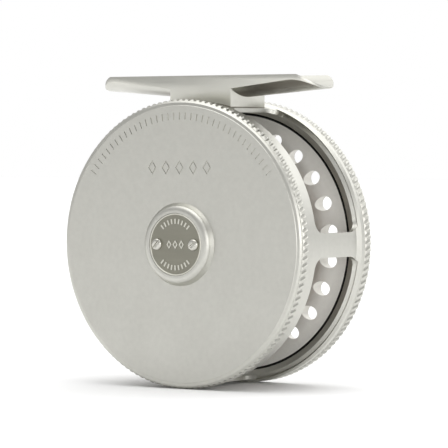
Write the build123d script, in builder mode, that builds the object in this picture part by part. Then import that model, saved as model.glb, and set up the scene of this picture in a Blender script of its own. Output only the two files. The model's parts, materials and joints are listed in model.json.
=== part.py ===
"""Single-action fly reel with a one-piece cage, a ported narrow spool and a sprung click check.

Millimetres. X runs along the rod, Y along the spool's axle from the back plate to the handle,
and +Z points up at the rod. The origin is the middle of the rod saddle, at its lowest line.
Axial sizes named *_at are distances from the back plate's face towards the handle.
"""

import os
from math import asin, cos, radians, sin, sqrt

from build123d import *

os.makedirs("parts", exist_ok=True)

# ---- driving sizes -------------------------------------------------------------------------
RIM_R = 34.925  # back plate and front ring, 2 3/4 inch across
WIDTH = 31.5  # from the back plate's face to the front ring's face
PEDESTAL_RISE = 3.65  # rod saddle above the top of the cage
FOOT_SHIFT = 1.5  # foot's centre plane, from the middle of the cage band towards the handle

# clearances
FIT = 0.03  # fixed fits within one body
RUN = 0.05  # radial running clearance of shafts in their bores
SPOOL_GAP = 0.55  # radial gap between spool and cage rings
SIDE_GAP = 0.35  # axial gap between moving faces
STACK_GAP = 0.2  # axial gap between the click check's layers

# cage
RIM_STEP = 0.775  # rims above the cage band
CAGE_WALL = 0.95
RING_LIP = 1.3  # the rings' bores inside the cage band
PLATE_T = 2.4
BACK_RING_END = 7.0
WINDOW_START = 7.5
FRONT_RING_W = 5.4
WINDOW_CORNER_R = 3.0
PILLAR_HALF = 2.95
TOP_PILLAR_LEDGE = 0.4  # top pillar beyond the pedestal, at each end
EDGE_BREAK = 0.35
RING_STEP_W = 3.9  # the front ring's bore opens out here, and the spool's rim steps out behind it
RING_STEP = 0.65
RELIEF_REACH = 0.5  # hollow chamfer on the windows' front edges
RELIEF_RISE = 0.8
RELIEF_LIP = 0.5
CORNER_STAND_OFF = 0.08  # keeps the relief's round ends off the windows' own corners

# rims
FACE_BORDER = 1.525
FACE_STEP = 0.1
FACE_FALL = 0.25
RIM_CHAMFER = 0.4
LAND_DROP = 0.38  # plain land below the fluted bands
LAND_STEP = 0.35
BACK_LAND_END = 0.95
BACK_RIM_END = 2.9
BACK_RIM_RUNOUT = 3.7
FLANGE_W = 5.8  # front ring from the foot of its cone
FRONT_BAND_W = 4.6
FRONT_GROOVE_W = 3.5
FRONT_BAND_FALL = 0.15
FRONT_FLUTE_L = 3.0
FRONT_RIM_W = 2.65
FLUTES = 134
FLUTE_R = 0.53
FLUTE_DEPTH = 0.36
FLUTE_SLANT = 20.0

# boss and badge
BADGE_R = 7.55
BADGE_T = 0.8
BADGE_SINK = 0.12  # floor of the badge's dish below its edge
BADGE_EDGE = 0.35
BADGE_CORNER = 0.1
BADGE_SCREW_INSET = 2.25
BADGE_SCREW_HEAD_R = 1.45
BADGE_SCREW_HEAD_H = 0.8
BADGE_SCREW_R = 0.6
BADGE_SCREW_DEPTH = 2.0
BADGE_SCREW_TURNS = (35, 50)
BOSS_BORDER = 2.65  # boss beyond the badge
BOSS_H = 1.95
BOSS_ROLL = 1.45
BOSS_ROLL_ARC = 75.0
BOSS_LIP = 0.6
HUB_PAD_R = 7.0
HUB_PAD_T = 2.0
SLOT_W = 0.4
SLOT_D = 0.35

# spindle
TAIL_R = 2.0
JOURNAL_R = 2.5
SPINDLE_FLANGE_R = 4.5
SPINDLE_FLANGE_T = 0.8
NUT_FLATS = 6.4
NUT_T = 1.2
NUT_POCKET_R = 4.2
NUT_POCKET_D = 1.8
NUT_WASHER_R = 3.9
NUT_WASHER_T = 0.3
GROOVE_DEPTH = 0.6
GROOVE_PLAY = 0.15
SPINDLE_NOSE = 0.8
THRUST_R = 4.3
THRUST_T = 0.45

# spool
SPOOL_START = 5.4
BACK_FLANGE_T = 1.2
WELL_DEPTH = 6.95  # line well between the cheeks
ARBOR_WALL = 1.4
CHEEK_ROLL = 6.0
CHEEK_SET_BACK = 0.05  # cheek's edge behind the front ring
WEB_SINK = 3.7  # dish below the spool's front edge
WEB_T = 1.6
SPOOL_RIM_T = 1.7
SPOOL_SINK = 0.4  # spool's front edge below the front ring's face
SPOOL_EDGE = 0.3
PORTS = 24
PORT_R = 1.77
PORT_RISE = 2.6  # ring of holes outside the arbor
PORT_PHASE = 6.1
PORTS_TO_HANDLE = 12
HUB_WALL = 2.7
BUSH_WALL = 1.1
HUB_FOOT_LEDGE = 0.2
HUB_FOOT_T = 3.0
BUSH_L = 5.0

# latch
HOUSING_R = 9.4
HOUSING_H = 0.9
HOUSING_WALL = 1.8
POCKET_D = 1.8
COVER_T = 0.9
COVER_EDGE = 0.3
LATCH_T = 1.1
LATCH_SIDE = 0.25  # metal beside the latch's hole
LATCH_TAIL_W = 2.6
LATCH_STICK_OUT = 2.8
LATCH_HOLE_GAP = 0.25
LATCH_BITE = 0.35
LATCH_SHOULDER_GAP = 1.1
LATCH_TAB_H = 1.8
LATCH_TAB_W = 4.2
LATCH_TAB_T = 1.4
SPRING_ROOM = 2.2
SPRING_COIL_R = 0.6
SPRING_WIRE_R = 0.12
SPRING_TURNS = 4
SPRING_SEAT = 0.25
COVER_SCREW_INSET = 1.0
COVER_SCREW_R = 0.45
COVER_SCREW_HOLE = 1.4
COVER_SCREW_L = 1.3
COVER_SCREW_HEAD_R = 0.75
COVER_SCREW_HEAD_H = 0.45
SPINDLE_STICK_OUT = 0.8

# handle and counterweight
STUD_R = 1.5
STUD_SHOULDER = 0.25
KNOB_STAND_OFF = 0.45  # knob clear of the front ring's face
STUD_TAP = 5.0
STUD_FLOOR = 0.15  # metal between the stud and the line well
PAD_R = 3.5
PAD_H = 0.4
KNOB_JOURNAL_R = 1.75
KNOB_L = 18.6
KNOB_BASE_R = 4.2
KNOB_WAIST_R = 3.7
KNOB_BELLY_R = 5.2
KNOB_SLEEVE_WALL = 0.85
KNOB_SLEEVE_L = 4.0
KNOB_SCREW_R = 0.8
KNOB_SCREW_RIM = 0.75
KNOB_SCREW_HEAD_H = 0.8
KNOB_EDGE = 0.5
KNOB_DISH = 1.8
KNOB_COLLAR = 1.5
WEIGHT_INSET = 4.5  # counterweight inside the arbor
WEIGHT_R = 3.2
WEIGHT_T = 2.6
WEIGHT_CAP = 0.7
WEIGHT_EDGE = 0.4
WEIGHT_SCREW_R = 1.0
WEIGHT_SCREW_HEAD_R = 2.0
WEIGHT_SCREW_HEAD_H = 0.8

# click check
GEAR_TEETH = 32
GEAR_TIP_R = 10.5
TOOTH_DEPTH = 1.1
GEAR_BORE_R = 5.0
GEAR_T = 1.5
TOOTH_FOOT_HALF = 0.85
TOOTH_TIP_HALF = 0.15
TOOTH_SINK = 0.2
GEAR_SCREWS = 3
GEAR_SCREW_R = 0.6
GEAR_SCREW_INSET = 2.3
GEAR_SCREW_HEAD_R = 1.1
GEAR_SCREW_HEAD_H = 0.55
GEAR_SCREW_L = 3.4
GEAR_SCREW_HOLE = 2.2
PAWLS = ("upper_pawl", "lower_pawl")
PAWL_PHASE = 60.0
PAWL_T = 1.2
PAWL_GAP = 0.3  # pawls' tips outside the gear's teeth
PAWL_REACH = 5.7
PAWL_HALF_W = 2.3
PAWL_BACK = 2.2
PAWL_BACK_HALF = 1.2
PAWL_TIP_HALF = 0.15
PAWL_NECK = 1.2
PAWL_SHOULDER = 0.6
POST_R = 1.2
POST_FOOT_R = 2.0
POST_SEAT = 1.2
POST_STICK_OUT = 0.5
CLIP_RIM = 0.75
CLIP_GAP = 0.9
CLIP_T = 0.4
LEAF_T = 0.4
LEAF_GAP = 0.45
LEAF_HALF_L = 7.5
LEAF_TAB_W = 3.2
LEAF_TAB_L = 4.8
LEAF_SCREW_R = 0.7
LEAF_SCREW_SHIFT = 0.4
LEAF_SCREW_HEAD_R = 1.3
LEAF_SCREW_HEAD_H = 0.8

# foot
FOOT_L = 63.5
FOOT_W = 14.9
FOOT_EDGE = 0.35
FOOT_TIP_FLAT = 0.95
SADDLE_DEPTH = 3.0
PEDESTAL_HALF = 8.9
FOOT_ROOT_T = 2.2
FOOT_TIP_T = 0.45
FOOT_ROOT_SAG = 2.0
FOOT_TIP_SAG = 2.85
FOOT_SCREW_X = 5.5
FOOT_SCREW_R = 1.0
FOOT_SCREW_HEAD_R = 1.85
FOOT_SCREW_HEAD_H = 0.85
FOOT_SCREW_TIP = 0.8
FOOT_SCREW_SINK = 0.1

# marks
MARK_DEPTH = 0.18
TICKS = 37
TICK_INSET = 4.025
TICK_ARC = 112.0
TICK_L = 1.7
TICK_W = 0.3
LOZENGES = 5
LOZENGE_PITCH = 4.0
LOZENGE_Z = 18.5
LOZENGE_HALF_L = 1.7
LOZENGE_HALF_W = 1.25
LOZENGE_LINE = 0.45
BADGE_MARK_INSET = 1.95
BADGE_MARKS = 9
BADGE_MARK_ARC = 84.0
BADGE_MARK_L = 1.2
BADGE_MARK_W = 0.4
BADGE_MARK_H = 0.1

# ---- sizes that follow -----------------------------------------------------------------------
CAGE_R = RIM_R - RIM_STEP
CAGE_INNER_R = CAGE_R - CAGE_WALL
RING_BORE_R = CAGE_INNER_R - RING_LIP
RING_STEP_R = RING_BORE_R + RING_STEP
RELIEF_R = CAGE_INNER_R + RELIEF_RISE
FACE_FLAT_R = RIM_R - FACE_BORDER
LAND_R = RIM_R - LAND_DROP
WINDOW_END = WIDTH - FRONT_RING_W
RING_STEP_AT = WIDTH - RING_STEP_W
FLANGE_START = WIDTH - FLANGE_W
FLANGE_END = WIDTH - FRONT_BAND_W
FRONT_BAND_END = WIDTH - FRONT_GROOVE_W
FRONT_LAND_END = WIDTH - FRONT_RIM_W
FRONT_FLUTE_START = WIDTH - FRONT_FLUTE_L
TOP_PILLAR_HALF = PEDESTAL_HALF + TOP_PILLAR_LEDGE
AXLE_DROP = CAGE_R + PEDESTAL_RISE
FOOT_AT = (BACK_RIM_RUNOUT + FLANGE_START) / 2 + FOOT_SHIFT
FOOT_TIP_R = FOOT_W / 2 - FOOT_TIP_FLAT
FOOT_SCREW_LOW = -AXLE_DROP + sqrt(CAGE_INNER_R**2 - FOOT_SCREW_X**2) - FOOT_SCREW_SINK
PEDESTAL_REACH = 1.7 * PEDESTAL_RISE  # sunk far enough to be trimmed to the cage's round
TICK_CIRCLE_R = RIM_R - TICK_INSET

BOSS_R = BADGE_R + BOSS_BORDER
BADGE_SCREW_X = BADGE_R - BADGE_SCREW_INSET
BADGE_MARK_R = BADGE_R - BADGE_MARK_INSET
BADGE_FRONT = -BOSS_H
BADGE_DISH = BADGE_FRONT + BADGE_SINK
BADGE_FLOOR = BADGE_FRONT + BADGE_T
HUB_PAD_END = PLATE_T + HUB_PAD_T
NUT_FLOOR = PLATE_T - NUT_POCKET_D

SPOOL_R = RING_BORE_R - SPOOL_GAP
SPOOL_STEP_R = SPOOL_R + RING_STEP
SPOOL_STEP_AT = RING_STEP_AT + SIDE_GAP
SPOOL_WALL_R = SPOOL_R - SPOOL_RIM_T
SPOOL_FRONT = WIDTH - SPOOL_SINK
ARBOR_R = SPOOL_R - WELL_DEPTH
ARBOR_INNER_R = ARBOR_R - ARBOR_WALL
FLANGE_AT = WINDOW_END - CHEEK_SET_BACK
ROLL_START = FLANGE_AT - CHEEK_ROLL
WEB_FRONT = SPOOL_FRONT - WEB_SINK
WEB_BACK = WEB_FRONT - WEB_T
PORT_CIRCLE_R = ARBOR_R + PORT_RISE
WEIGHT_CIRCLE_R = ARBOR_INNER_R - WEIGHT_INSET
HANDLE_PHASE = PORT_PHASE + 360.0 / PORTS * PORTS_TO_HANDLE
PAD_END = WEB_FRONT + PAD_H
STUD_SEAT = FLANGE_AT + STUD_FLOOR

STUD_SHOULDER_R = KNOB_JOURNAL_R + STUD_SHOULDER
KNOB_SLEEVE_R = KNOB_JOURNAL_R + KNOB_SLEEVE_WALL
KNOB_SCREW_HEAD_R = KNOB_JOURNAL_R + KNOB_SCREW_RIM
KNOB_START = WIDTH + KNOB_STAND_OFF
STUD_SHOULDER_END = KNOB_START - SIDE_GAP
# The dish's round corner stops clear of the stud's shoulder.
WEB_COVE = PAD_H + SPOOL_WALL_R - PORT_CIRCLE_R - STUD_SHOULDER_R - RUN

HOUSING_END = WEB_FRONT + HOUSING_H
POCKET_R = HOUSING_R - HOUSING_WALL
POCKET_FLOOR = HOUSING_END - POCKET_D
COVER_TOP = HOUSING_END + COVER_T
COVER_SCREW_AT = HOUSING_R - COVER_SCREW_INSET
LATCH_START = POCKET_FLOOR + SIDE_GAP
LATCH_HOLE_R = JOURNAL_R + LATCH_HOLE_GAP
LATCH_W = 2 * (LATCH_HOLE_R + LATCH_SIDE)
LATCH_FOOT = SPRING_ROOM - POCKET_R
LATCH_SHOULDER = POCKET_R - LATCH_SHOULDER_GAP
LATCH_REACH = HOUSING_R + LATCH_STICK_OUT
LATCH_OFFSET = LATCH_HOLE_R - JOURNAL_R + LATCH_BITE
GROOVE_R = JOURNAL_R - GROOVE_DEPTH
GROOVE_START = LATCH_START - GROOVE_PLAY
GROOVE_END = LATCH_START + LATCH_T + GROOVE_PLAY
SPINDLE_END = COVER_TOP + SPINDLE_STICK_OUT
FLANGE_FACE = HUB_PAD_END + SPINDLE_FLANGE_T

REAR_BUSH_START = FLANGE_FACE + RUN + THRUST_T + SIDE_GAP
HUB_BORE_R = JOURNAL_R + BUSH_WALL
HUB_R = HUB_BORE_R + HUB_WALL
HUB_FOOT_AT = REAR_BUSH_START + RUN + GEAR_T
GEAR_ROOT_R = GEAR_TIP_R - TOOTH_DEPTH
GEAR_SCREW_CIRCLE_R = GEAR_ROOT_R - GEAR_SCREW_INSET
HUB_FOOT_R = GEAR_ROOT_R - HUB_FOOT_LEDGE
PAWL_END = HUB_FOOT_AT - STACK_GAP
PAWL_START = PAWL_END - PAWL_T
POST_CIRCLE_R = GEAR_TIP_R + PAWL_GAP + PAWL_REACH
POST_SHOULDER = PAWL_START - STACK_GAP
POST_END = PAWL_END + CLIP_T + POST_STICK_OUT
LEAF_X = PAWL_BACK + LEAF_GAP + LEAF_T / 2
LEAF_TAB_X = LEAF_X - LEAF_T / 2 + LEAF_TAB_L / 2
LEAF_SCREW_X = LEAF_TAB_X + LEAF_SCREW_SHIFT
LEAF_SCREW_Y = -LEAF_HALF_L + LEAF_TAB_W / 2

# ---- working planes ------------------------------------------------------------------------
SPIN_AXIS = Axis((0, 0, -AXLE_DROP), (0, 1, 0))
HALF_SECTION = Plane(origin=(0, -FOOT_AT, -AXLE_DROP), x_dir=(0, 1, 0), z_dir=(1, 0, 0))


def station(distance):
    """Plane across the axle, seen from the back plate's side with +Z up."""
    return Plane(origin=(0, distance - FOOT_AT, -AXLE_DROP), x_dir=(1, 0, 0), z_dir=(0, -1, 0))


def outline(*points, mode=Mode.ADD):
    """Closed straight-sided profile, its points kept where they are given."""
    Polygon(*points, align=None, mode=mode)


def lozenge(half_width, half_length, mode=Mode.ADD):
    """Upright diamond on the current place."""
    outline((0, -half_length), (half_width, 0), (0, half_length), (-half_width, 0), mode=mode)


def tube(start, end, outer, inner):
    """Ring profile in the half section, for a revolve."""
    outline((start, inner), (end, inner), (end, outer), (start, outer))


def finish_part(part, name):
    """Label the piece and write it."""
    part.label = name
    export_step(part, "parts/" + name + ".step")
    print(name, round(part.volume, 1))


# ---- frame: plate, cage and front ring in one piece ------------------------------------------
TICK_START = 90 - TICK_ARC / 2

with BuildPart() as window_cutter:
    for x0, z0, side_x, side_z in (
        (TOP_PILLAR_HALF, PILLAR_HALF, 1, 1),
        (TOP_PILLAR_HALF, PILLAR_HALF, -1, 1),
        (PILLAR_HALF, PILLAR_HALF, 1, -1),
        (PILLAR_HALF, PILLAR_HALF, -1, -1),
    ):
        with BuildSketch(station(WINDOW_START)):
            outline(
                (side_x * x0, side_z * z0),
                (side_x * 2 * RIM_R, side_z * z0),
                (side_x * 2 * RIM_R, side_z * 2 * RIM_R),
                (side_x * x0, side_z * 2 * RIM_R),
            )
        extrude(amount=WINDOW_START - WINDOW_END)
    corner_edges = window_cutter.edges().filter_by(Axis.X) + window_cutter.edges().filter_by(Axis.Z)
    inner_corner_edges = corner_edges.filter_by(
        lambda edge: max(abs(edge.center().X), abs(edge.center().Z + AXLE_DROP)) < 1.2 * RIM_R
    )
    fillet(inner_corner_edges, WINDOW_CORNER_R)

with BuildPart() as ring_relief:
    with BuildSketch(HALF_SECTION):
        outline(
            (WINDOW_END - 1, CAGE_INNER_R),
            (WINDOW_END, CAGE_INNER_R),
            (WINDOW_END + RELIEF_REACH, RELIEF_R),
            (WINDOW_END, RELIEF_R + RELIEF_LIP),
            (WINDOW_END - 1, RELIEF_R + RELIEF_LIP),
        )
    revolve(axis=SPIN_AXIS)
    with BuildSketch(station(WINDOW_START)):
        with Locations((0, RIM_R)):
            Rectangle(2 * (TOP_PILLAR_HALF + WINDOW_CORNER_R), 2 * RIM_R)
        with Locations((0, -RIM_R)):
            Rectangle(2 * (PILLAR_HALF + WINDOW_CORNER_R), 2 * RIM_R)
        Rectangle(4 * RIM_R, 2 * (PILLAR_HALF + WINDOW_CORNER_R))
    extrude(amount=-WIDTH, mode=Mode.SUBTRACT)

RELIEF_SLOPE = RELIEF_REACH / (RELIEF_R - CAGE_INNER_R)
CORNER_Y = WINDOW_END - WINDOW_CORNER_R - FOOT_AT


def corner_reach(half):
    """Distance out from the axle at which a window's front corner meets the relief's inner edge."""
    return sqrt(CAGE_INNER_R**2 - (half + WINDOW_CORNER_R) ** 2)


# The window's round corner, slid towards the ring as it goes outwards along the radius.
with BuildPart() as corner_relief:
    for half, across_x, across_z, out_x, out_z in (
        (PILLAR_HALF, 0, 1, 1, 0),
        (PILLAR_HALF, 0, -1, 1, 0),
        (PILLAR_HALF, 0, 1, -1, 0),
        (PILLAR_HALF, 0, -1, -1, 0),
        (PILLAR_HALF, 1, 0, 0, -1),
        (PILLAR_HALF, -1, 0, 0, -1),
        (TOP_PILLAR_HALF, 1, 0, 0, 1),
        (TOP_PILLAR_HALF, -1, 0, 0, 1),
    ):
        middle = half + WINDOW_CORNER_R + CORNER_STAND_OFF
        out = corner_reach(half) - CORNER_STAND_OFF
        lean = asin(middle / CAGE_INNER_R)
        corner_plane = Plane(
            origin=(
                across_x * middle + out_x * out,
                CORNER_Y,
                across_z * middle + out_z * out - AXLE_DROP,
            ),
            x_dir=(0, 1, 0),
            z_dir=(out_x, 0, out_z),
        )
        with BuildSketch(corner_plane):
            Circle(WINDOW_CORNER_R)
        slope = Vector(
            out_x * cos(lean) + across_x * sin(lean),
            RELIEF_SLOPE,
            out_z * cos(lean) + across_z * sin(lean),
        )
        extrude(amount=2 * WINDOW_CORNER_R, dir=slope)
    with BuildSketch(HALF_SECTION):
        outline(
            (WINDOW_START, 0),
            (WINDOW_START, RELIEF_R + RELIEF_LIP),
            (WINDOW_END, RELIEF_R + RELIEF_LIP),
            (WINDOW_END + 2 * RELIEF_REACH, RELIEF_R - RELIEF_LIP),
            (WINDOW_END + 2 * RELIEF_REACH, 0),
        )
    revolve(axis=SPIN_AXIS, mode=Mode.INTERSECT)

with BuildPart(station(0)) as back_flutes:
    with PolarLocations(RIM_R + FLUTE_R - FLUTE_DEPTH, FLUTES):
        Cylinder(FLUTE_R, 4 * BACK_RIM_END, rotation=(FLUTE_SLANT, 0, 0))

with BuildPart(station(0)) as front_flutes:
    with PolarLocations(RIM_R + FLUTE_R - FLUTE_DEPTH, FLUTES):
        with Locations((0, 0, -FRONT_FLUTE_START)):
            Cylinder(
                FLUTE_R,
                2 * (WIDTH - FRONT_FLUTE_START),
                rotation=(FLUTE_SLANT, 0, 0),
                align=(Align.CENTER, Align.CENTER, Align.MAX),
            )

with BuildPart() as frame:
    with BuildSketch(HALF_SECTION):
        outline(
            (0, 0),
            (0, FACE_FLAT_R),
            (FACE_STEP, FACE_FLAT_R + FACE_STEP),
            (FACE_FALL, LAND_R - RIM_CHAMFER),
            (FACE_FALL + RIM_CHAMFER, LAND_R),
            (BACK_LAND_END, LAND_R),
            (BACK_LAND_END + LAND_STEP, RIM_R),
            (BACK_RIM_END, RIM_R),
            (BACK_RIM_RUNOUT, CAGE_R),
            (FLANGE_START, CAGE_R),
            (FLANGE_END, RIM_R),
            (FRONT_BAND_END, RIM_R),
            (FRONT_BAND_END + FRONT_BAND_FALL, LAND_R),
            (FRONT_LAND_END, LAND_R),
            (FRONT_LAND_END + LAND_STEP, RIM_R),
            (WIDTH - RIM_CHAMFER, RIM_R),
            (WIDTH, RIM_R - RIM_CHAMFER),
            (WIDTH, RING_STEP_R + EDGE_BREAK),
            (WIDTH - EDGE_BREAK, RING_STEP_R),
            (RING_STEP_AT, RING_STEP_R),
            (RING_STEP_AT, RING_BORE_R),
            (WINDOW_END, RING_BORE_R),
            (WINDOW_END, CAGE_INNER_R),
            (BACK_RING_END, CAGE_INNER_R),
            (BACK_RING_END, RING_BORE_R),
            (PLATE_T, RING_BORE_R),
            (PLATE_T, HUB_PAD_R),
            (HUB_PAD_END, HUB_PAD_R),
            (HUB_PAD_END, 0),
        )
    revolve(axis=SPIN_AXIS)
    with BuildSketch(HALF_SECTION):
        with BuildLine():
            Polyline((0, 0), (-BOSS_H, 0), (-BOSS_H, BOSS_R - BOSS_ROLL - BOSS_LIP))
            roll = JernArc((-BOSS_H, BOSS_R - BOSS_ROLL - BOSS_LIP), (0, 1), BOSS_ROLL, -BOSS_ROLL_ARC)
            Polyline(roll @ 1, (FACE_FALL, BOSS_R), (FACE_FALL, 0), (0, 0))
        make_face()
    revolve(axis=SPIN_AXIS)
    with BuildSketch(HALF_SECTION):
        tube(-BOSS_H - 1, BADGE_FLOOR, BADGE_R + FIT, 0)
        tube(-BOSS_H, NUT_FLOOR, NUT_POCKET_R, 0)
        tube(-BOSS_H, HUB_PAD_END + 1, TAIL_R + FIT, 0)
    revolve(axis=SPIN_AXIS, mode=Mode.SUBTRACT)
    with BuildSketch(station(BADGE_FLOOR)):
        with Locations((BADGE_SCREW_X, 0), (-BADGE_SCREW_X, 0)):
            Circle(BADGE_SCREW_R + FIT)
    extrude(amount=-BADGE_SCREW_DEPTH, mode=Mode.SUBTRACT)
    with BuildSketch(station(PLATE_T)):
        with PolarLocations(POST_CIRCLE_R, len(PAWLS), start_angle=PAWL_PHASE):
            Circle(POST_R + FIT)
            with Locations((LEAF_SCREW_X, LEAF_SCREW_Y)):
                Circle(LEAF_SCREW_R + FIT)
    extrude(amount=POST_SEAT, mode=Mode.SUBTRACT)
    for x in (FOOT_SCREW_X, -FOOT_SCREW_X):
        with Locations((x, 0, FOOT_SCREW_LOW)):
            Cone(
                FOOT_SCREW_HEAD_R + FIT,
                FOOT_SCREW_R + FIT,
                FOOT_SCREW_HEAD_H,
                align=(Align.CENTER, Align.CENTER, Align.MIN),
                mode=Mode.SUBTRACT,
            )
            Cylinder(
                FOOT_SCREW_HEAD_R + FIT,
                2 * FOOT_SCREW_HEAD_H,
                align=(Align.CENTER, Align.CENTER, Align.MAX),
                mode=Mode.SUBTRACT,
            )
            Cylinder(
                FOOT_SCREW_R + FIT,
                4 * FOOT_SCREW_HEAD_H,
                align=(Align.CENTER, Align.CENTER, Align.MIN),
                mode=Mode.SUBTRACT,
            )
    with BuildSketch(station(0)):
        with PolarLocations(TICK_CIRCLE_R, TICKS, TICK_START, TICK_ARC, endpoint=True):
            Rectangle(TICK_L, TICK_W)
        with Locations((0, LOZENGE_Z)):
            with GridLocations(LOZENGE_PITCH, 1, LOZENGES, 1):
                lozenge(LOZENGE_HALF_W, LOZENGE_HALF_L)
                lozenge(LOZENGE_HALF_W - LOZENGE_LINE, LOZENGE_HALF_L - LOZENGE_LINE, mode=Mode.SUBTRACT)
    extrude(amount=-MARK_DEPTH, mode=Mode.SUBTRACT)
    add(window_cutter.part, mode=Mode.SUBTRACT)
    add(ring_relief.part, mode=Mode.SUBTRACT)
    add(corner_relief.part, mode=Mode.SUBTRACT)
    add(back_flutes.part, mode=Mode.SUBTRACT)
    add(front_flutes.part, mode=Mode.SUBTRACT)
finish_part(frame.part, "frame")

# ---- foot ------------------------------------------------------------------------------------
SADDLE_HALF = FOOT_W / 2 - FOOT_EDGE
SADDLE_R = (SADDLE_HALF**2 + SADDLE_DEPTH**2) / (2 * SADDLE_DEPTH)


def foot_section(x):
    """Plane across the foot at a distance along the rod."""
    return Plane(origin=(x, 0, 0), x_dir=(0, 1, 0), z_dir=(1, 0, 0))


with BuildPart() as foot:
    for side in (1, -1):
        for x, middle, sag in (
            (side * FOOT_L / 2, -FOOT_TIP_T, FOOT_TIP_SAG),
            (side * PEDESTAL_HALF, -FOOT_ROOT_T, FOOT_ROOT_SAG),
        ):
            with BuildSketch(foot_section(x)):
                with BuildLine():
                    Polyline(
                        (FOOT_W / 2, middle + sag),
                        (FOOT_W / 2, SADDLE_DEPTH),
                        (-FOOT_W / 2, SADDLE_DEPTH),
                        (-FOOT_W / 2, middle + sag),
                    )
                    ThreePointArc((-FOOT_W / 2, middle + sag), (0, middle), (FOOT_W / 2, middle + sag))
                make_face()
        loft(ruled=True)
    with BuildSketch(Plane.XY.offset(SADDLE_DEPTH)):
        Rectangle(2 * PEDESTAL_HALF, FOOT_W)
    extrude(amount=-SADDLE_DEPTH - PEDESTAL_REACH)
    with BuildSketch(Plane.XY.offset(SADDLE_DEPTH)):
        RectangleRounded(FOOT_L, FOOT_W, FOOT_TIP_R)
    extrude(amount=-SADDLE_DEPTH - PEDESTAL_REACH, mode=Mode.INTERSECT)
    with BuildSketch(foot_section(-FOOT_L)):
        with Locations((0, SADDLE_R)):
            Circle(SADDLE_R)
    extrude(amount=2 * FOOT_L, mode=Mode.SUBTRACT)
    with BuildSketch(station(0)):
        Circle(CAGE_R)
    extrude(amount=-WIDTH, mode=Mode.SUBTRACT)
    with Locations((FOOT_SCREW_X, 0, -FOOT_SCREW_TIP + FIT), (-FOOT_SCREW_X, 0, -FOOT_SCREW_TIP + FIT)):
        Cylinder(
            FOOT_SCREW_R + FIT,
            PEDESTAL_REACH,
            align=(Align.CENTER, Align.CENTER, Align.MAX),
            mode=Mode.SUBTRACT,
        )
finish_part(foot.part, "foot")

with BuildPart() as foot_screws:
    with Locations((FOOT_SCREW_X, 0, FOOT_SCREW_LOW), (-FOOT_SCREW_X, 0, FOOT_SCREW_LOW)):
        Cone(
            FOOT_SCREW_HEAD_R,
            FOOT_SCREW_R,
            FOOT_SCREW_HEAD_H,
            align=(Align.CENTER, Align.CENTER, Align.MIN),
        )
        Cylinder(
            FOOT_SCREW_R, -FOOT_SCREW_TIP - FOOT_SCREW_LOW, align=(Align.CENTER, Align.CENTER, Align.MIN)
        )
        Box(
            3 * FOOT_SCREW_HEAD_R,
            SLOT_W,
            2 * SLOT_D,
            align=(Align.CENTER, Align.CENTER, Align.CENTER),
            mode=Mode.SUBTRACT,
        )
finish_part(foot_screws.part, "foot_screws")

# ---- badge -----------------------------------------------------------------------------------
with BuildPart() as badge:
    with BuildSketch(HALF_SECTION):
        outline(
            (BADGE_FLOOR, 0),
            (BADGE_FLOOR, BADGE_R),
            (BADGE_FRONT + BADGE_CORNER, BADGE_R),
            (BADGE_FRONT, BADGE_R - BADGE_CORNER),
            (BADGE_FRONT, BADGE_R - BADGE_EDGE),
            (BADGE_DISH, BADGE_R - BADGE_EDGE - BADGE_SINK),
            (BADGE_DISH, 0),
        )
    revolve(axis=SPIN_AXIS)
    with BuildSketch(station(BADGE_DISH)):
        for middle in (90, 270):
            with PolarLocations(
                BADGE_MARK_R,
                BADGE_MARKS,
                start_angle=middle - BADGE_MARK_ARC / 2,
                angular_range=BADGE_MARK_ARC,
                endpoint=True,
            ):
                Rectangle(BADGE_MARK_L, BADGE_MARK_W)
        with GridLocations(1.5 * BADGE_MARK_L, 1, 3, 1):
            lozenge(0.6 * BADGE_MARK_L, 0.9 * BADGE_MARK_L)
            lozenge(0.3 * BADGE_MARK_L, 0.5 * BADGE_MARK_L, mode=Mode.SUBTRACT)
    extrude(amount=BADGE_MARK_H)
    with BuildSketch(station(BADGE_FRONT)):
        with Locations((BADGE_SCREW_X, 0), (-BADGE_SCREW_X, 0)):
            Circle(BADGE_SCREW_R + FIT)
    extrude(amount=-2 * BADGE_T, mode=Mode.SUBTRACT)
finish_part(badge.part, "badge")

BADGE_SCREW_TOP = BADGE_DISH - BADGE_SCREW_HEAD_H
with BuildPart() as badge_screws:
    for x, turn in zip((BADGE_SCREW_X, -BADGE_SCREW_X), BADGE_SCREW_TURNS):
        with BuildSketch(station(BADGE_DISH)):
            with Locations((x, 0)):
                Circle(BADGE_SCREW_HEAD_R)
        extrude(amount=BADGE_SCREW_HEAD_H)
        head_rim = faces().filter_by(Plane.XZ).sort_by(Axis.Y)[0].edges()
        fillet(head_rim, 0.8 * BADGE_SCREW_HEAD_H)
        with BuildSketch(station(BADGE_DISH)):
            with Locations((x, 0)):
                Circle(BADGE_SCREW_R)
        extrude(amount=-BADGE_SCREW_DEPTH)
        with BuildSketch(station(BADGE_SCREW_TOP)):
            with Locations(Location((x, 0), turn)):
                Rectangle(3 * BADGE_SCREW_HEAD_R, SLOT_W)
        extrude(amount=-SLOT_D, mode=Mode.SUBTRACT)
finish_part(badge_screws.part, "badge_screws")

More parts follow.
